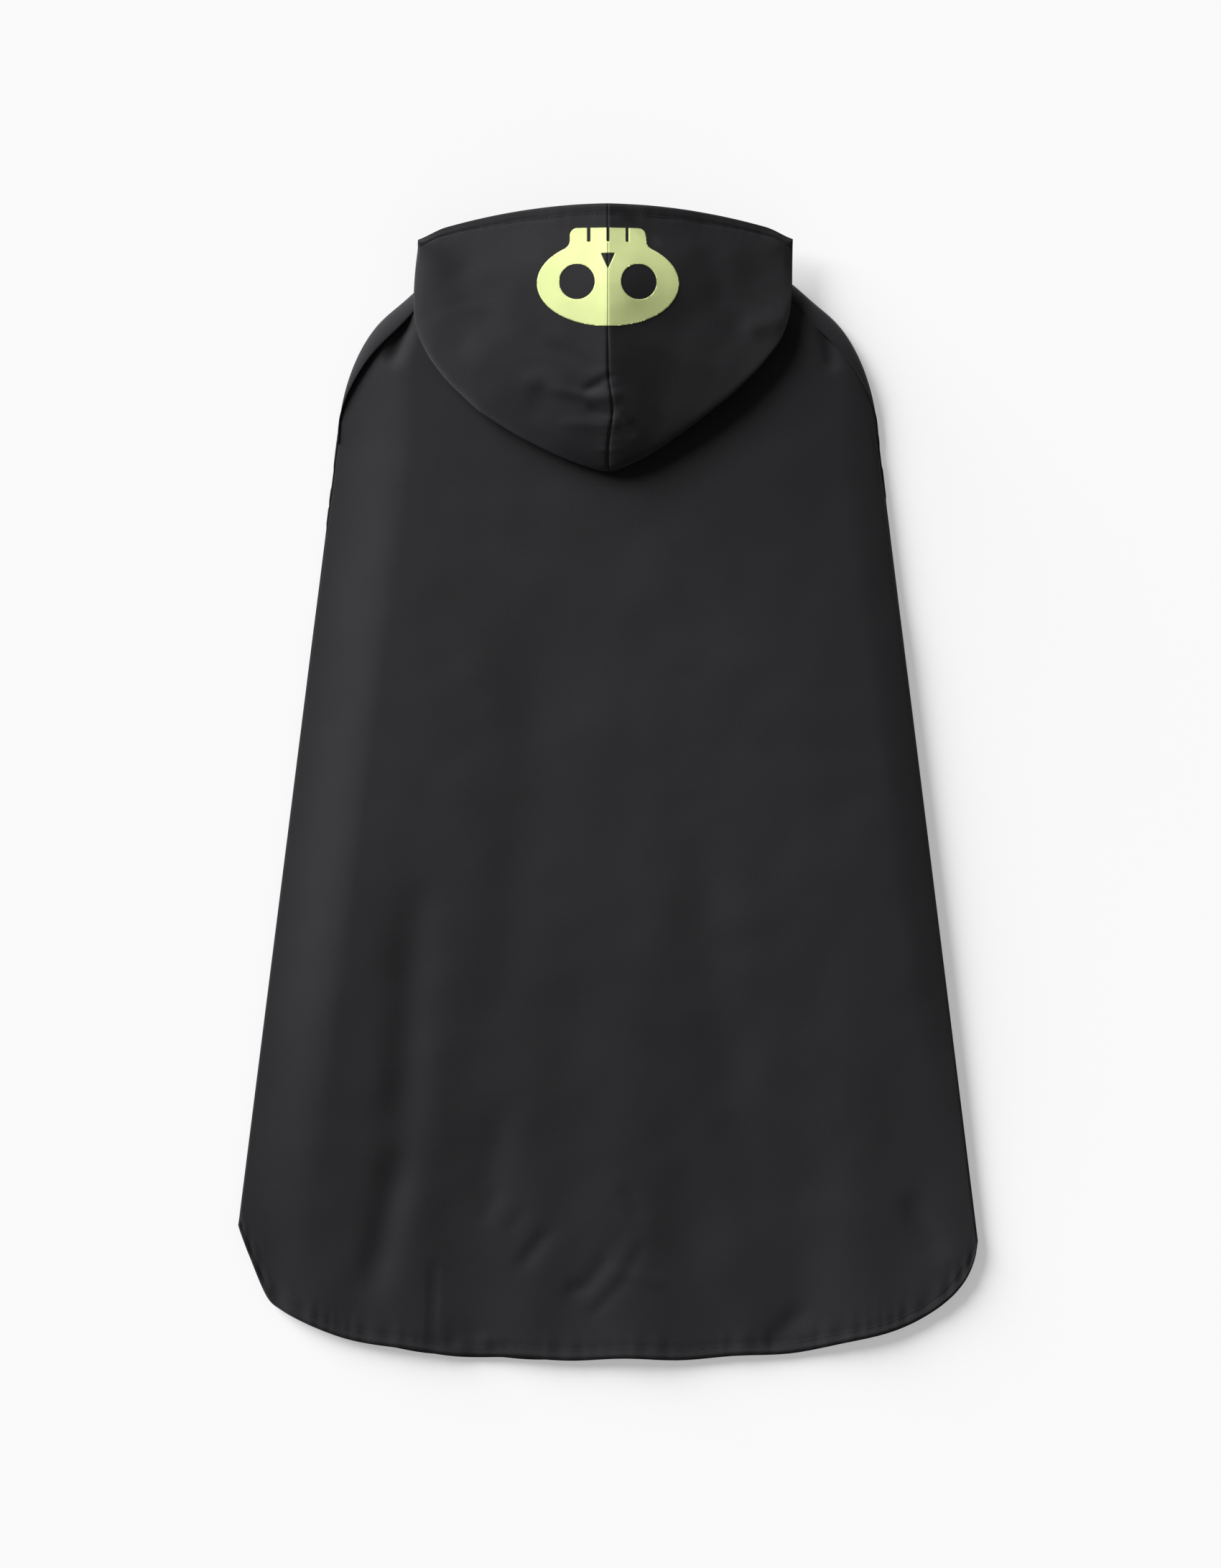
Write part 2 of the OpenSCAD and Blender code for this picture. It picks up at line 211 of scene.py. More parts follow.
def back_z(x, y):
    """Height of the back's outer face: a soft crown that rounds off to the side folds."""
    hem = 0.0062 + 0.0015 * np.sin(x * 31 + 1.1) + 0.0009 * np.sin(x * 74)
    crown = np.where(
        y > 0,
        mix(PUFF, PUFF - 0.005, smooth(0, NECK_Y, y)),
        mix(PUFF, hem, smooth(-0.060, -HALF_L, y)),
    )
    edge = base_z(y) + FOLD_R
    inward = side_x(y) - np.abs(x)
    u = np.clip(np.abs(x) / side_x(y), 0, 1)
    left = smooth(0.05, -0.05, x)
    slope = smooth(0, 1, inward / mix(0.030, 0.058, left))
    profile = mix((1 - u**3) ** (1 / 3), slope, 0.15 + 0.65 * left)
    down = np.clip((top_y(x) - y) / 0.040, 0, 1)
    fade = mix(1, np.sqrt(1 - (1 - down) ** 2), smooth(0.060, 0.105, np.abs(x)))
    fade = np.where(np.abs(x) >= HALF_SHOULDER, 1, fade)
    return edge + (crown - edge) * profile * fade


def seam_v(u):
    """How far down the back the shoulder seam lies, as a share of the body's length."""
    fall = smooth(0.35, 0.9, np.abs(u)) * (1 - np.abs(u) ** 30)
    return (0.002 + 0.022 * fall) / (2 * HALF_L)


def body_point(u, v):
    x = u * mix(HALF_SHOULDER, HALF_HEM, v)
    return x, mix(top_y(u * HALF_SHOULDER), hem_y(u), v)


def back_face(s, t):
    """The back's outer face, from the left side seam round over the top to the right one."""
    c = (2 * s - 1) * 1.10
    side, c = np.sign(c), np.abs(c)
    u = np.where(c < 1, 0.4 * c + 0.6 * np.sin(np.pi / 2 * np.minimum(c, 1)), 1.0)
    v = mix(seam_v(u) * smooth(0.070, 0.092, u * HALF_SHOULDER), 1, 1 - t)
    x, y = body_point(side * u, v)
    z = back_z(x, y)
    # beyond the fold: down round the roll, then in along the strip under the cape
    quarter = FOLD_R * np.pi / 2
    gone = np.clip((c - 1) / 0.10, 0, 1) * (quarter + TURN_UNDER - FOLD_R)
    bent = np.minimum(gone / FOLD_R, np.pi / 2)
    inward = FOLD_R * (1 - np.cos(bent)) + np.maximum(0, gone - quarter)
    strip = np.clip((gone - quarter) / (TURN_UNDER - FOLD_R), 0, 1)
    roll = base_z(y) + FOLD_R * (1 - np.sin(bent))
    low = np.where(gone > quarter, mix(base_z(y), LIFT, strip), roll)
    under = c > 1
    y = np.where(under, mix(SIDE_Y, hem_y(side * (1 - inward / HALF_HEM)), v), y)
    x = np.where(under, side * (mix(HALF_SHOULDER, HALF_HEM, v) - inward), x)
    # hem: turned twice, so it is thicker below its stitched line, and slightly puckered along it
    from_hem = y - hem_y(np.clip(x / HALF_HEM, -1, 1))
    hem = 0.0006 * smooth(HEM_W + 0.001, HEM_W - 0.001, from_hem)
    hem -= 0.0009 * np.exp(-(((from_hem - HEM_W) / 0.0016) ** 2))
    puckers = 0.0005 * np.sin(x * 560 + 3 * np.sin(x * 90))
    hem += puckers * np.exp(-(((from_hem - HEM_W) / 0.010) ** 2))
    from_side = smooth(0, 0.03, side_x(y) - np.abs(x))
    soft = creased(x, y, CREASES)
    soft += 0.0011 * ripples(x, y, 0.085, 3.1) + 0.0005 * ripples(x, y, 0.030, 8.4)
    return x, y, np.where(under, low, z + hem + soft * (0.25 + 0.75 * from_side))


def cloth_sheet(name, across, along, face, size, thickness=CLOTH, flip=False):
    """A grid of cloth whose outer face lies where face(s, t) says, with s and t from 0 to 1."""
    bpy.ops.object.select_all(action="DESELECT")
    bpy.ops.mesh.primitive_grid_add(x_subdivisions=across, y_subdivisions=along, size=1)
    piece = bpy.context.object
    piece.name = piece.data.name = name
    flat = np.empty(len(piece.data.vertices) * 3)
    piece.data.vertices.foreach_get("co", flat)
    s, t = flat.reshape(-1, 3)[:, 0] + 0.5, flat.reshape(-1, 3)[:, 1] + 0.5
    shaped = np.stack(face(1 - s if flip else s, t), axis=1)
    piece.data.vertices.foreach_set("co", shaped.ravel())
    uv = piece.data.uv_layers.active.data
    spread = np.empty(len(uv) * 2)
    uv.foreach_get("uv", spread)
    uv.foreach_set("uv", (spread.reshape(-1, 2) * size).ravel())
    wall = piece.modifiers.new("thickness", "SOLIDIFY")
    wall.thickness, wall.offset = thickness, -1
    bpy.ops.object.modifier_apply(modifier=wall.name)
    bpy.ops.object.shade_smooth()
    return piece


class Shade:
    """A socket in a material. Sums and products of it add Math nodes."""

    def __init__(self, tree, socket=None):
        self.tree, self.socket = tree, socket

    def node(self, kind, settings, sockets, out=0):
        """A node of that kind, with its settings made first and then its sockets set or linked."""
        made = self.tree.nodes.new(kind)
        for name, value in settings.items():
            setattr(made, name, value)
        for name, value in sockets.items():
            if isinstance(value, Shade):
                self.tree.links.new(value.socket, made.inputs[name])
            else:
                made.inputs[name].default_value = value
        return Shade(self.tree, made.outputs[out])

    def math(self, operation, *values):
        return self.node("ShaderNodeMath", {"operation": operation}, dict(enumerate(values)))

    def __add__(self, other):
        return self.math("ADD", self, other)

    def __mul__(self, other):
        return self.math("MULTIPLY", self, other)

    __radd__, __rmul__ = __add__, __mul__


def woven(name, dark, light, pitch=0.00055, relief=0.00012, rough=0.78, sheen=0.25):
    """Plain-woven cloth: crossing threads, uneven dye, a little lint and a faint sheen."""
    material = bpy.data.materials.new(name)
    material.use_nodes = True
    tree = material.node_tree
    surface = tree.nodes["Principled BSDF"]
    start = Shade(tree)
    uv = start.node("ShaderNodeTexCoord", {}, {}, out="UV")
    place = start.node("ShaderNodeTexCoord", {}, {}, out="Object")
    thread = start.node("ShaderNodeSeparateXYZ", {}, {0: uv}, out="X")
    pick = start.node("ShaderNodeSeparateXYZ", {}, {0: uv}, out="Y")
    turn = 2 * math.pi / pitch
    weave = start.math("SINE", thread * turn) * start.math("SINE", pick * turn)
    cloudy = start.node("ShaderNodeTexNoise", {}, {"Vector": place, "Scale": 16.0, "Detail": 5.0})
    slub = start.node("ShaderNodeTexNoise", {}, {"Vector": uv, "Scale": 420.0, "Detail": 3.0})
    fleck = start.node("ShaderNodeTexNoise", {}, {"Vector": place, "Scale": 900.0, "Detail": 1.0})
    shade = cloudy * 0.55 + slub * 0.30 + weave * 0.10
    colour = start.node(
        "ShaderNodeMix",
        {"data_type": "RGBA", "clamp_factor": True},
        {"Factor": shade, 6: (*dark, 1), 7: (*light, 1)},
        out=2,
    )
    bump = start.node(
        "ShaderNodeBump",
        {},
        {"Height": weave * 0.5 + slub * 0.9 + fleck * 0.4, "Distance": relief, "Strength": 0.8},
    )
    tree.links.new(colour.socket, surface.inputs["Base Color"])
    tree.links.new((slub * 0.16 + (rough - 0.08)).socket, surface.inputs["Roughness"])
    tree.links.new(bump.socket, surface.inputs["Normal"])
    surface.inputs["Specular IOR Level"].default_value = 0.2
    surface.inputs["Sheen Weight"].default_value = sheen
    surface.inputs["Sheen Roughness"].default_value = 0.45
    surface.inputs["Sheen Tint"].default_value = (0.8, 0.8, 0.9, 1)
    return material


black_cloth = woven("black_cloth", (0.0109, 0.0100, 0.0113), (0.0189, 0.0174, 0.0195), sheen=0.12)

back = cloth_sheet("back_cloth", 190, 218, back_face, (0.62, 0.84))
back.data.materials.append(black_cloth)
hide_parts("back_panel")
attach(back, "cape")

# ---------------------------------------------------------------- hem stitching
# Black spun polyester thread. The hem is topstitched by machine, one even row near its edge.

STITCH = 0.0018  # one stitch with its gap

thread_black = woven(
    "thread_black", (0.008, 0.008, 0.009), (0.014, 0.014, 0.015), pitch=0.0003, relief=0.00008
)


def surface_of(*pieces):
    """What a thread or a print lies on: the top of these pieces."""
    points, faces = [], []
    for piece in pieces:
        faces += [[i + len(points) for i in p.vertices] for p in piece.data.polygons]
        points += [v.co.copy() for v in piece.data.vertices]
    return BVHTree.FromPolygons(points, faces)


def drop(surface, x, y, lift, way=-1):
    """The point where a plumb line at x, y meets the surface, a little off it, or None beside it."""
    hit = surface.ray_cast(Vector((x, y, -0.2 * way)), Vector((0, 0, way)))[0]
    return None if hit is None else hit - Vector((0, 0, lift * way))


def stitches(name, path, pitch, surface, length=0.85, width=0.00042, way=-1):
    """A row of machine stitches along a path of x, y points, lying on a surface."""
    path = np.array(path, float)
    steps = np.hypot(*np.diff(path, axis=0).T)
    travelled = np.concatenate([[0], np.cumsum(steps)])
    marks = np.arange(pitch / 2, travelled[-1], pitch)
    xs, ys = np.interp(marks, travelled, path[:, 0]), np.interp(marks, travelled, path[:, 1])
    at = [drop(surface, x, y, 0.0001, way) for x, y in zip(xs, ys)]
    at = [p for p in at if p is not None]
    bpy.ops.object.select_all(action="DESELECT")
    bpy.ops.mesh.primitive_uv_sphere_add(segments=6, ring_count=4, radius=0.5)
    one = bpy.context.object
    bpy.ops.object.mode_set(mode="EDIT")
    bpy.ops.mesh.select_all(action="SELECT")
    bpy.ops.transform.resize(value=(pitch * length, width, width * 0.6))
    bpy.ops.object.mode_set(mode="OBJECT")
    shape = [v.co.copy() for v in one.data.vertices]
    loops = [list(p.vertices) for p in one.data.polygons]
    bpy.data.objects.remove(one)
    points, faces = [], []
    for i, here in enumerate(at):
        before, after = at[max(0, i - 1)], at[min(len(at) - 1, i + 1)]
        along = (after - before).normalized()
        across = Vector((0, 0, 1)).cross(along).normalized()
        up = along.cross(across)
        faces += [[k + len(points) for k in loop] for loop in loops]
        points += [here + along * p.x + across * p.y + up * p.z for p in shape]
    mesh = bpy.data.meshes.new(name)
    mesh.from_pydata(points, [], faces)
    row = bpy.data.objects.new(name, mesh)
    bpy.context.collection.objects.link(row)
    mesh.materials.append(thread_black)
    mesh.polygons.foreach_set("use_smooth", [True] * len(faces))
    return row


def hem_path(low, high, count=240):
    u = np.sin(np.linspace(math.asin(low), math.asin(high), count))
    return list(zip(u * (HALF_HEM - HEM_W), hem_y(u, HEM_W)))


hem_row = stitches("back_hem_stitches", hem_path(-0.985, 0.985), STITCH, surface_of(back))
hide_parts("back_hem_thread")
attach(hem_row, "cape")

# ---------------------------------------------------------------- fronts
# Two front panels of the same cloth lie under the back. Each is sewn to the back's turned strip
# at its side and is open down the middle. Below the closure a front can turn back.

FRONT_NECK_Y, TURN_Y, HALF_SLIT = 0.345, 0.300, 0.0005
FOOT_X = HALF_HEM - TURN_UNDER
FOOT = np.array([FOOT_X, -0.3982])
TURN_TOP = np.array([HALF_SLIT, TURN_Y])
TURN_LINE = (FOOT - TURN_TOP) / np.linalg.norm(FOOT - TURN_TOP)
TO_FLAP = np.array([TURN_LINE[1], -TURN_LINE[0]])
FOLD_ZONE = 0.003  # half the width of the band that bends as a front turns
YOKE_IN = TURN_UNDER - 0.003

# A front's two side edges, from the neck down: INNER at the opening, OUTER at the side seam
INNER = [(HALF_NECK - YOKE_IN / 2, NECK_Y - 0.014)] + [
    (mix(HALF_SLIT, HALF_NECK - YOKE_IN / 2, math.sin(a)), FRONT_NECK_Y + 0.032 * (1 - math.cos(a)))
    for a in np.linspace(math.pi / 2, 0, 9)[1:]
] + [(HALF_SLIT, y) for y in np.linspace(FRONT_NECK_Y, -HALF_L, 30)[1:]]
OUTER = [
    (
        HALF_NECK + (HALF_SHOULDER - HALF_NECK - YOKE_IN) * math.sin(a),
        SIDE_Y + (SHOULDER_DROP - YOKE_IN) * math.cos(a),
    )
    for a in np.linspace(0.05, math.pi / 2, 12)
] + [
    (mix(HALF_SHOULDER - TURN_UNDER, FOOT_X, k), mix(SIDE_Y, FOOT[1], k))
    for k in np.linspace(0, 1, 24)[1:]
]


def run(line, t):
    """Points along a line of points, by share of its length."""
    line = np.array(line)
    far = np.concatenate([[0], np.cumsum(np.hypot(*np.diff(line, axis=0).T))])
    return np.interp(t * far[-1], far, line[:, 0]), np.interp(t * far[-1], far, line[:, 1])


def front_face(side):
    def face(s, t):
        down = 1 - t
        ix, iy = run(INNER, down)
        ox, oy = run(OUTER, down)
        x, y = mix(ix, ox, s), mix(iy, oy, s)
        y += (hem_y(x / HALF_HEM) - mix(-HALF_L, FOOT[1], s)) * down**3
        gone = (x - TURN_TOP[0]) * TO_FLAP[0] + (y - TURN_TOP[1]) * TO_FLAP[1]
        z = mix(LIFT, 0.0001, smooth(-FOLD_ZONE, FOLD_ZONE, gone))
        z = z + CLOTH + 0.00012 * ripples(x, y, 0.05, 5.0 + side)
        return side * x, y, z

    return face


for side, word in ((-1, "left"), (1, "right")):
    front = cloth_sheet(
        f"front_{word}_cloth", 90, 230, front_face(side), (0.26, 0.80), flip=side < 0
    )
    front.data.materials.append(black_cloth)
    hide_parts(f"front_{word}_side", f"front_{word}_flap")
    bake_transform(front)
    down = np.linspace(TURN_Y - 0.035, -HALF_L + HEM_W, 30)
    path = [(side * (HALF_SLIT + HEM_W), y) for y in down]
    path += [(side * x, y) for x, y in hem_path(0.03, 0.88, 60)]
    row = stitches(f"front_{word}_stitches", path, STITCH, surface_of(front), way=1)
    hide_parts(f"front_{word}_thread")
    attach(row, f"{word}_front")

# ---------------------------------------------------------------- shoulders
# The fronts' top edges come up over the shoulders, so that each shoulder seam lies on the back.

SHOULDER_EDGE = 0.30  # share of the piece that lies on the back


def shoulder_face(side):
    def face(s, t):
        u = np.sin(mix(math.radians(26.5), math.radians(89.0), 1 - s))
        x0, y0 = body_point(u, np.zeros_like(u))
        wx, wy = 0.040 - x0, 0.190 - y0
        reach = np.hypot(wx, wy)
        wx, wy = wx / reach, wy / reach
        # t runs from the seam on the back, over the edge and round the roll, to the yoke beneath
        v = seam_v(u) * 1.04 * np.clip(1 - t / SHOULDER_EDGE, 0, 1)
        x, y = body_point(u, v)
        swell = np.sin(np.pi * np.clip(t / SHOULDER_EDGE, 0, 1)) ** 0.6
        z = back_z(x, y) + 0.0004 + 0.0012 * swell
        past = np.clip((t - SHOULDER_EDGE) / (1 - SHOULDER_EDGE), 0, 1)
        gone = past * (FOLD_R * np.pi / 2 + 0.022)
        bent = np.minimum(gone / FOLD_R, np.pi / 2)
        inward = FOLD_R * (1 - np.cos(bent)) + np.maximum(0, gone - FOLD_R * np.pi / 2)
        low = FOLD_R * (1 - np.sin(bent)) + LIFT * smooth(0, 0.016, inward - FOLD_R)
        over = t > SHOULDER_EDGE
        x, y = np.where(over, x0 + wx * inward, x), np.where(over, y0 + wy * inward, y)
        return side * x, y, np.where(over, low, z)

    return face


for side, word in ((-1, "left"), (1, "right")):
    yoke = cloth_sheet(
        f"shoulder_{word}_cloth", 110, 40, shoulder_face(side), (0.2, 0.06), flip=side > 0
    )
    yoke.data.materials.append(black_cloth)
    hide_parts(f"front_{word}_side")
    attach(yoke, "cape")

# ---------------------------------------------------------------- hood
# Two halves of the same cloth, joined by a curved centre seam and sewn to the neck. The hood lies
# folded down over the back as a flattened pocket, open along its face edge. Its halves settle
# unevenly, so that each has a rim of its own.

HALF_HOOD, HOOD_GAP = 0.145, 0.042
FACE_SAG, FACE_DROP = 0.0034, 0.0228
HOOD_CLEAR = 0.0016
UNDER_SHARE, ROOT = 0.36, 0.030  # shares of a half's length: its under layer, and its neck strip

# The rim that a half folds along, from the point round to the face edge's corner
RIMS = {
    -1: [
        (0, 0.2360), (0.018, 0.2410), (0.040, 0.2495), (0.069, 0.2640),
        (0.099, 0.2830), (0.124, 0.3070), (0.138, 0.3260), (0.1470, 0.3460),
        (0.1490, 0.3640), (0.1480, 0.3850), (0.1465, 0.4000), (0.1450, 0.4100),
    ],
    1: [
        (0, 0.2360), (0.019, 0.2430), (0.039, 0.2540), (0.0685, 0.2755),
        (0.095, 0.2960), (0.1155, 0.3160), (0.1320, 0.3370), (0.1390, 0.3560),
        (0.1408, 0.3770), (0.1408, 0.3900), (0.1410, 0.4020), (0.1412, 0.4130),
    ],
}

# Creases of the hood, listed as the back's are
HOOD_CREASES = [
    (-0.020, 0.2965, 0.002, 0.3085, 0.0036, -0.0019),
    (-0.044, 0.2990, 0.002, 0.2895, 0.0050, 0.0019),
    (-0.017, 0.2840, 0.001, 0.2790, 0.0038, -0.0014),
    (-0.036, 0.2740, 0.000, 0.2700, 0.0044, 0.0010),
    (-0.044, 0.3330, -0.006, 0.3120, 0.0060, -0.0013),
    (-0.062, 0.3080, -0.030, 0.3020, 0.0070, 0.0012),
    (0.004, 0.2830, 0.014, 0.2740, 0.0034, 0.0009),
    (0.005, 0.2690, 0.018, 0.2640, 0.0034, -0.0008),
    (0.016, 0.4290, 0.037, 0.4110, 0.0036, -0.0016),
    (-0.120, 0.4000, -0.085, 0.3450, 0.0140, -0.0022),
    (-0.105, 0.3300, -0.060, 0.3000, 0.0110, 0.0018),
    (0.075, 0.4000, 0.100, 0.3400, 0.0130, -0.0018),
    (0.020, 0.3400, 0.075, 0.3150, 0.0100, 0.0014),
    (0.105, 0.3450, 0.130, 0.3520, 0.0080, 0.0016),
]


def face_y(x):
    """The hood's face edge, a shallow bow that falls towards its corners."""
    return HALF_L - FACE_SAG - FACE_DROP * (np.abs(x) / HALF_HOOD) ** 2


def rim(side, s):
    """A smooth curve through a rim's points."""
    points = np.array(RIMS[side])
    far = np.concatenate([[0], np.cumsum(np.hypot(*np.diff(points, axis=0).T))])
    fine = np.linspace(-0.1, 1.1, 241)
    window = np.hanning(25) / np.hanning(25).sum()
    curve = []
    for axis in (0, 1):
        sign = -1 if axis == 0 else 1  # the two halves' rims meet squarely at the point
        low = sign * np.interp(-fine * far[-1], far, points[:, axis])
        line = np.where(fine < 0, low, np.interp(fine * far[-1], far, points[:, axis]))
        high = points[-1, axis] + (points[-1, axis] - points[-2, axis]) * (fine - 1) * 8
        line = np.where(fine > 1, high, line)
        curve.append(np.interp(s, fine[12:-12], np.convolve(line, window, "valid")))
    return curve


def hood_face(side, off=0.0, wide=1.0, start=0.0, stop=1.0):
    """A half's outer face, from the neck seam under the hood, round its rim and over its top."""

    def face(s, t):
        s, t = s * wide, mix(start, stop, t)
        rx, ry = rim(side, s)
        nx, ny = (RIMS[side][-1][0] - 0.005) * s, NECK_Y + 0.009 * s**2
        fx = RIMS[side][-1][0] * s
        fy = face_y(fx) - 0.003 * smooth(0.85, 1, s)
        lift = (0.009 if side > 0 else 0.002) * np.sin(np.pi * np.clip(s / 0.9, 0, 1)) ** 0.8
        # under layer
        below = np.clip(t / UNDER_SHARE, 0, 1)
        ux, uy = mix(nx, rx, below), mix(ny, ry, below)
        uz = back_z(ux, np.minimum(uy, top_y(ux) - 0.030)) + HOOD_CLEAR + off
        uz += (lift + 0.003 * smooth(0.85, 1, below)) * below**1.6
        # top layer
        above = np.clip((t - UNDER_SHARE) / (1 - UNDER_SHARE), 0, 1) ** 1.6
        tx, ty = mix(rx, fx, above), mix(ry, fy, above)
        full = mix(1.95, 1.7 if side > 0 else 2.2, smooth(0.004, 0.045, np.abs(tx)))
        round_rim = (1 - (1 - above) ** full) ** (1 / full)
        out = np.clip(np.abs(tx) / HALF_HOOD, 0, 1)
        across = 1 - (0.96 if side > 0 else 0.72) * out**0.92
        tz = back_z(tx, np.minimum(ty, top_y(tx) - 0.030)) + HOOD_CLEAR + 0.003 - off
        droop = 1 - 0.25 * smooth(0.6, 1, above)
        tz += lift * (1 - above) ** 2 + HOOD_GAP * across * round_rim * droop
        # centre seam: a sunk, puckered line, and folds dragged from it near the point
        sunk = np.exp(-((tx / 0.0016) ** 2))
        tz -= sunk * mix(0.00025, 0.0004, smooth(0.355, 0.320, ty))
        tz += (side < 0) * 0.0002 * np.exp(-((tx / 0.006) ** 2)) * smooth(0.345, 0.315, ty)
        pucker = ripples(ty * 0, ty, 0.0045, 1.7) * (0.0001 + 0.0007 * smooth(0.335, 0.300, ty))
        tz += pucker * np.exp(-((tx / 0.008) ** 2))
        soft = creased(side * tx, ty, HOOD_CREASES)
        soft += 0.0014 * ripples(side * tx, ty, 0.050, 2.7)
        soft += 0.0006 * ripples(side * tx, ty, 0.020, 6.6)
        tz += soft * smooth(0, 0.10, above)
        # face edge: turned under and stitched
        from_face = np.hypot(tx - fx, ty - fy)
        tz += 0.0004 * smooth(HEM_W + 0.001, HEM_W - 0.001, from_face)
        tz -= 0.0007 * np.exp(-(((from_face - HEM_W) / 0.0014) ** 2))
        near_hem = np.exp(-(((from_face - HEM_W) / 0.008) ** 2))
        tz += 0.0003 * ripples(tx, ty * 0, 0.006, 4.2) * near_hem
        top = t > UNDER_SHARE
        x, y, z = np.where(top, tx, ux), np.where(top, ty, uy), np.where(top, tz, uz)
        # the seam wanders sideways a little where the drag folds meet it
        wobble = 0.0036 * np.exp(-(((y - 0.283) / 0.018) ** 2)) * np.exp(-((x / 0.05) ** 2))
        return side * np.maximum(x, 0.00004) + wobble, y, z

    return face


hood_halves = []
for side, word in ((-1, "left"), (1, "right")):
    half = cloth_sheet(
        f"hood_{word}_cloth", 80, 190, hood_face(side, start=ROOT), (0.15, 0.40), flip=side < 0
    )
    half.data.materials.append(black_cloth)
    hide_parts(f"hood_{word}")
    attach(half, "hood")
    hood_halves.append(half)
    # the strip beside the neck seam is a sheet of its own, not attached to the hood, where the cloth bends as
    # the hood folds up
    near_neck = hood_face(side, stop=ROOT + 0.002)
    root = cloth_sheet(f"hood_{word}_root", 60, 8, near_neck, (0.15, 0.014), flip=side < 0)
    root.data.materials.append(black_cloth)
    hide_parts(f"hood_{word}")
    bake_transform(root)

hood_top = surface_of(*hood_halves)
edge_path = [(x, float(face_y(x)) - HEM_W) for x in np.linspace(-0.139, 0.139, 140)]
edge_row = stitches("hood_edge_stitches", edge_path, 0.0029, hood_top, length=0.8, width=0.0005)
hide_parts("hood_hem_thread")
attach(edge_row, "hood")

# ---------------------------------------------------------------- skull print
# A plain skull in lime ink, screen-printed across the hood's seam before the halves were worn.
# It is upside down as the hood lies: its teeth point to the face edge.

SKULL_Y, SKULL_W, GRID_TALL = 0.384, 0.108, 0.080
INK = 0.00015
CELL = 0.0007
INK_GAP = 0.00012  # from the seam to each half's ink
JAW, CHIN, JAW_ROUND = 0.029, 0.037, 0.006
EYE_X, EYE_Y, EYE_R = 0.0235, -0.004, 0.0135
TEETH_GAP, TOOTH_TOP, HALF_CUT = 0.0145, 0.0275, 0.0012


def oval(x, y, cx, cy, rx, ry):
    """Roughly how far a point is outside an oval."""
    dx, dy = x - cx, y - cy
    share = np.hypot(dx / rx, dy / ry)
    return share * (share - 1) / np.maximum(np.hypot(dx / rx**2, dy / ry**2), 1e-6)


def skull(x, y):
    """Roughly how far a point is outside the skull's ink."""
    y = y - SKULL_Y
    wide = np.maximum(np.abs(x) - JAW + JAW_ROUND, 0)
    block = np.hypot(wide, np.maximum(y - CHIN + JAW_ROUND, 0)) - JAW_ROUND
    block = np.maximum(block, -y)
    head = oval(x, y, 0, -0.005, SKULL_W / 2, 0.033)
    blur = 0.005  # the cheeks run into the jaw in a soft curve
    near = np.clip(0.5 + (block - head) / (2 * blur), 0, 1)
    ink = mix(block, head, near) - blur * near * (1 - near)
    for eye in (-1, 1):
        ink = np.maximum(ink, -oval(x, y, eye * EYE_X, EYE_Y, EYE_R, EYE_R))
    nose = np.maximum(y - 0.0175, np.abs(x) - (y - 0.0055) * 0.45)
    ink = np.maximum(ink, -nose)
    for gap in (-TEETH_GAP, 0, TEETH_GAP):
        ink = np.maximum(ink, HALF_CUT - np.maximum(np.abs(x - gap), TOOTH_TOP - y))
    return ink


def printed(name, side):
    """One half's ink: a fine grid cut to the skull and laid on the cloth as a thin film."""
    bpy.ops.object.select_all(action="DESELECT")
    across, along = round(SKULL_W / 2 / CELL), round(GRID_TALL / CELL)
    bpy.ops.mesh.primitive_grid_add(x_subdivisions=across, y_subdivisions=along, size=1)
    ink = bpy.context.object
    ink.name = ink.data.name = name
    flat = np.empty(len(ink.data.vertices) * 3)
    ink.data.vertices.foreach_get("co", flat)
    flat = flat.reshape(-1, 3)
    x = side * (INK_GAP + (0.5 + side * flat[:, 0]) * (SKULL_W / 2 + 0.001))
    y = SKULL_Y + flat[:, 1] * GRID_TALL
    # corners near the outline are drawn onto it, and cells outside are taken away
    for _ in range(4):
        out, step = skull(x, y), 1e-5
        gx, gy = (skull(x + step, y) - out) / step, (skull(x, y + step) - out) / step
        size = np.maximum(gx * gx + gy * gy, 0.05)
        pull = np.where(np.abs(out) < CELL * 0.75, 0.9 * out / size, 0)
        x, y = x - gx * pull, y - gy * pull
    x = side * np.maximum(side * x, INK_GAP)
    out = skull(x, y)
    cut = bmesh.new()
    cut.from_mesh(ink.data)
    cut.verts.ensure_lookup_table()
    for v in cut.verts:
        # read the cloth's height just beside the seam, so that the ink does not dip into it
        here = drop(hood_top, side * max(side * x[v.index], CELL), y[v.index], 0.00028)
        v.co = (x[v.index], y[v.index], -1 if here is None else here.z)
    lost = [
        f
        for f in cut.faces
        if max(out[v.index] for v in f.verts) > CELL * 0.15 or min(v.co.z for v in f.verts) < 0
    ]
    bmesh.ops.delete(cut, geom=lost, context="FACES")
    cut.to_mesh(ink.data)
    cut.free()
    film = ink.modifiers.new("film", "SOLIDIFY")
    film.thickness, film.offset = INK, -1
    bpy.ops.object.modifier_apply(modifier=film.name)
    bpy.ops.object.shade_smooth()
    return ink


lime_ink = woven(
    "lime_ink", (0.64, 0.73, 0.30), (0.77, 0.84, 0.40), relief=0.00006, rough=0.82, sheen=0.0
)
for side, word in ((-1, "left"), (1, "right")):
    ink = printed(f"skull_{word}_ink", side)
    ink.data.materials.append(lime_ink)
    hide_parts(f"hood_print_{word}")
    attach(ink, "hood")

# ---------------------------------------------------------------- inside trim
# Overlocked seam edges, tape over the neck seam and two blank labels, all inside the cape.

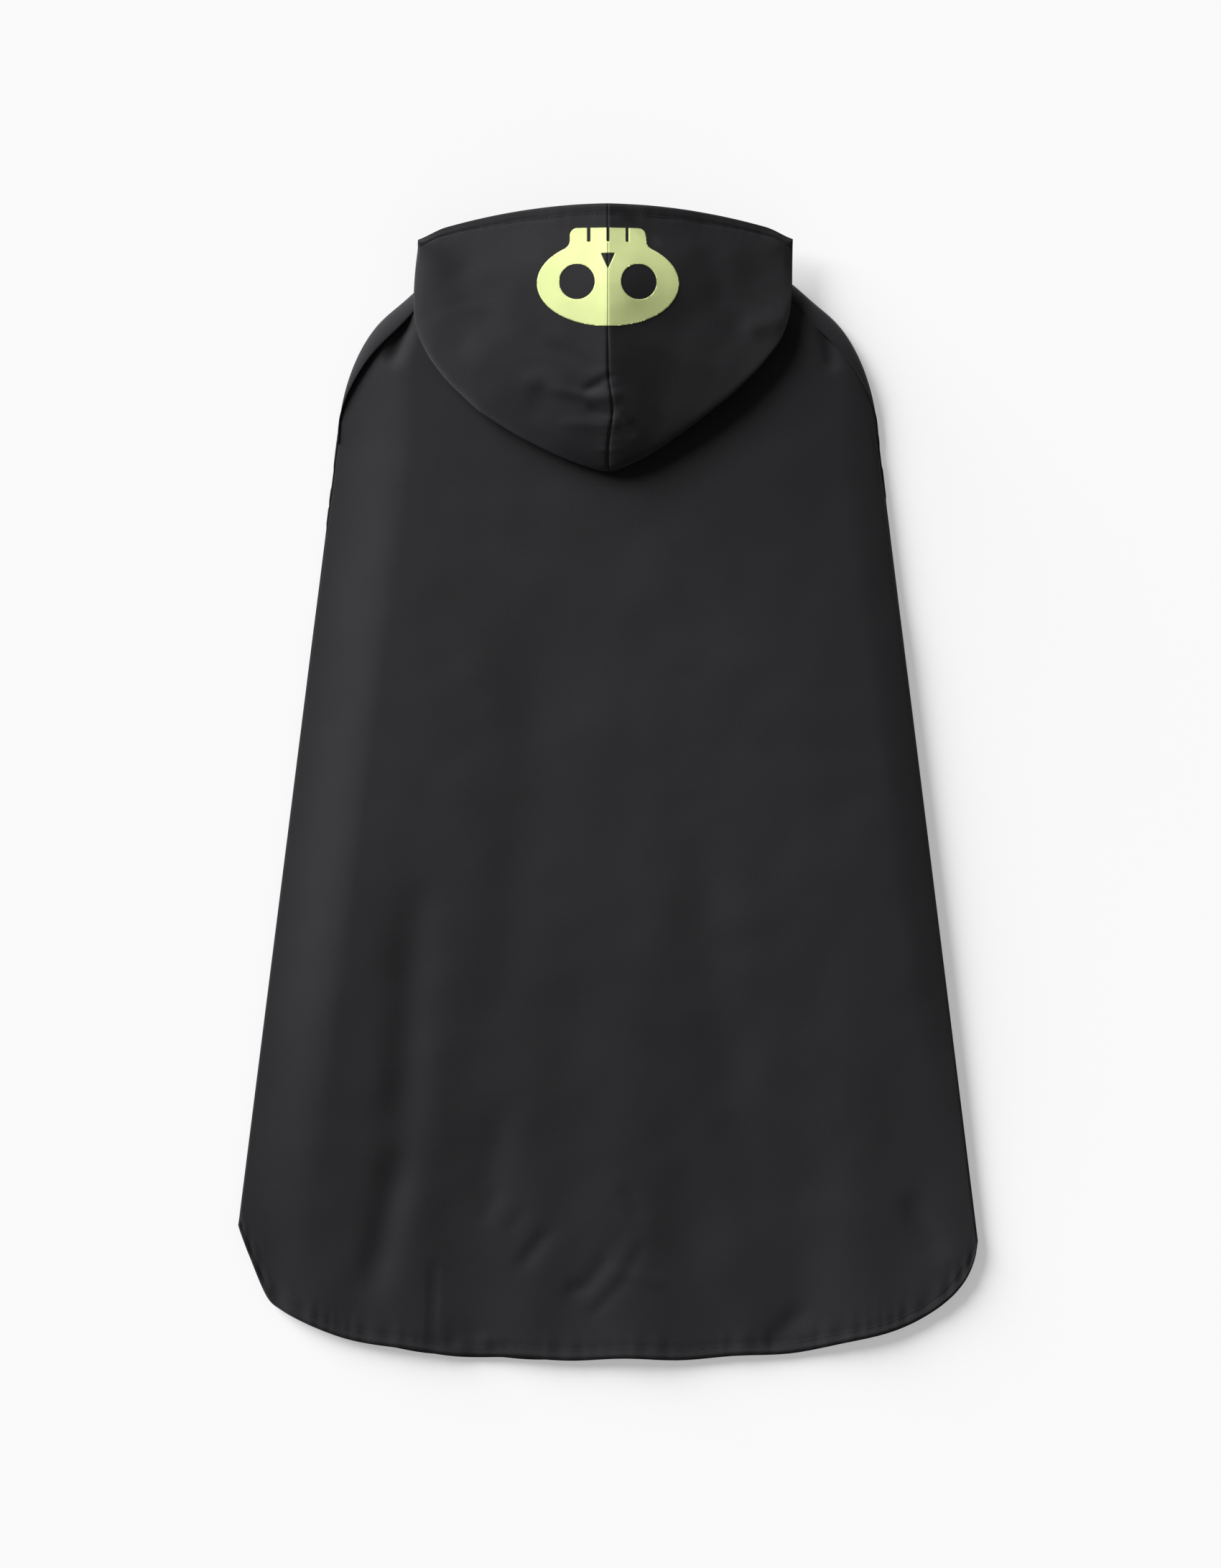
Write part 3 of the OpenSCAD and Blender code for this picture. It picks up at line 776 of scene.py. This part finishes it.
OVERLOCK_W, HOOD_OVERLOCK_W, TAPE = 0.006, 0.008, 0.0004

satin = woven(
    "satin_label",
    (0.74, 0.74, 0.71),
    (0.86, 0.86, 0.84),
    pitch=0.0004,
    relief=0.00004,
    rough=0.45,
    sheen=0.0,
)
twill = woven("neck_twill", (0.016, 0.016, 0.018), (0.028, 0.028, 0.031), pitch=0.0011, relief=0.0003)


def side_overlock(side):
    def face(s, t):
        x = mix(HALF_SHOULDER - TURN_UNDER, FOOT_X, 1 - t) - OVERLOCK_W * s
        y = mix(SIDE_Y - 0.003, FOOT[1] + 0.008, 1 - t)
        return side * x, y, 0.0040 + 0.0003 * np.sin(t * 400) * s

    return face


def hood_overlock(s, t):
    seam = hood_face(1, off=0.0016, wide=0.02)
    middle, at = seam(0 * s, t)[0], seam(np.abs(2 * s - 1), t)
    return middle + np.sign(s - 0.5001) * (at[0] - middle + 0.0004), at[1], at[2] - 0.0004


def neck_band(s, t):
    x = mix(HALF_NECK - 0.018, 0.018 - HALF_NECK, 1 - s)
    y = top_y(x) - 0.010 * (1 - t) - 0.0005
    return x, y, back_z(x, y) - 0.0030 - 0.0004 * np.sin(x * 300)


def label(cx, y0, wide, long, z):
    def face(s, t):
        return cx + (s - 0.5) * wide, y0 + t * long, z + 0.0003 * np.sin(s * 9 + t * 4)

    return face


long_edge, hood_edge = (OVERLOCK_W, 0.66), (HOOD_OVERLOCK_W, 0.40)
size_label = label(0, 0.369, 0.030, 0.018, 0.0158)
care_label = label(-0.2115, -0.150, 0.036, 0.025, 0.0040)

for name, shape, cells, size, node, finish, slot in (
    ("left_seam_overlock", side_overlock(-1), (4, 200), long_edge, "left_side_seam", thread_black, "thread"),
    ("right_seam_overlock", side_overlock(1), (4, 200), long_edge, "right_side_seam", thread_black, "thread"),
    ("hood_seam_overlock", hood_overlock, (6, 120), hood_edge, "hood_seam_tape", thread_black, "thread"),
    ("neck_twill_tape", neck_band, (60, 6), (0.145, 0.01), "neck_tape", twill, "neck_tape"),
    ("size_label_satin", size_label, (16, 10), (0.03, 0.018), "size_label", satin, "label_tape"),
    ("care_label_satin", care_label, (16, 12), (0.036, 0.025), "care_label", satin, "label_tape"),
):
    trim = cloth_sheet(name, *cells, shape, size, thickness=TAPE, flip=name.startswith("left"))
    trim.data.materials.append(finish)
    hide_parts(node)
    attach(trim, "hood" if name.startswith("hood") else "cape")
    size[0] * size[1]

# ---------------------------------------------------------------- closure
# A tab of doubled cloth sewn to the right front at the neck. Its hook tape presses onto a square
# of loop tape under the left front, and it peels open.

TAB_X0, TAB_X1, TAB_Y0, TAB_Y1 = -0.034, 0.012, 0.318, 0.338


def tab_face(s, t):
    x, y = mix(TAB_X0, TAB_X1, s), mix(TAB_Y0, TAB_Y1, t)
    corner = 0.003 * np.clip(1 - s * 12, 0, 1) ** 2
    y = mix(y, (TAB_Y0 + TAB_Y1) / 2, corner / 0.010 * np.abs(2 * t - 1))
    return x, y, 0.00078 + 0.00004 * np.sin(x * 900)


tab = cloth_sheet("closure_tab_cloth", 60, 28, tab_face, (0.046, 0.02), thickness=0.00075)
tab.data.materials.append(black_cloth)
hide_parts("closure_tab")
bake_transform(tab)

hook_tape = woven(
    "hook_tape", (0.010, 0.010, 0.011), (0.022, 0.022, 0.024), pitch=0.0008, relief=0.0002, sheen=0.0
)
loop_tape = woven(
    "loop_tape", (0.014, 0.014, 0.015), (0.034, 0.034, 0.036), pitch=0.0006, relief=0.0003, sheen=0.5
)


def patch_face(z):
    def face(s, t):
        x = mix(TAB_X0 + 0.001, TAB_X0 + 0.021, s)
        return x, mix(TAB_Y0 + 0.001, TAB_Y1 - 0.001, t), z + 0 * s

    return face


for name, node, body, z, finish, slot in (
    ("hook_square", "hook_patch", "closure", 0.00112, hook_tape, "hook_tape"),
    ("loop_square", "loop_patch", "cape", 0.00225, loop_tape, "loop_tape"),
):
    patch = cloth_sheet(name, 36, 32, patch_face(z), (0.02, 0.018), thickness=0.0003)
    patch.data.materials.append(finish)
    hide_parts(node)
    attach(patch, body)
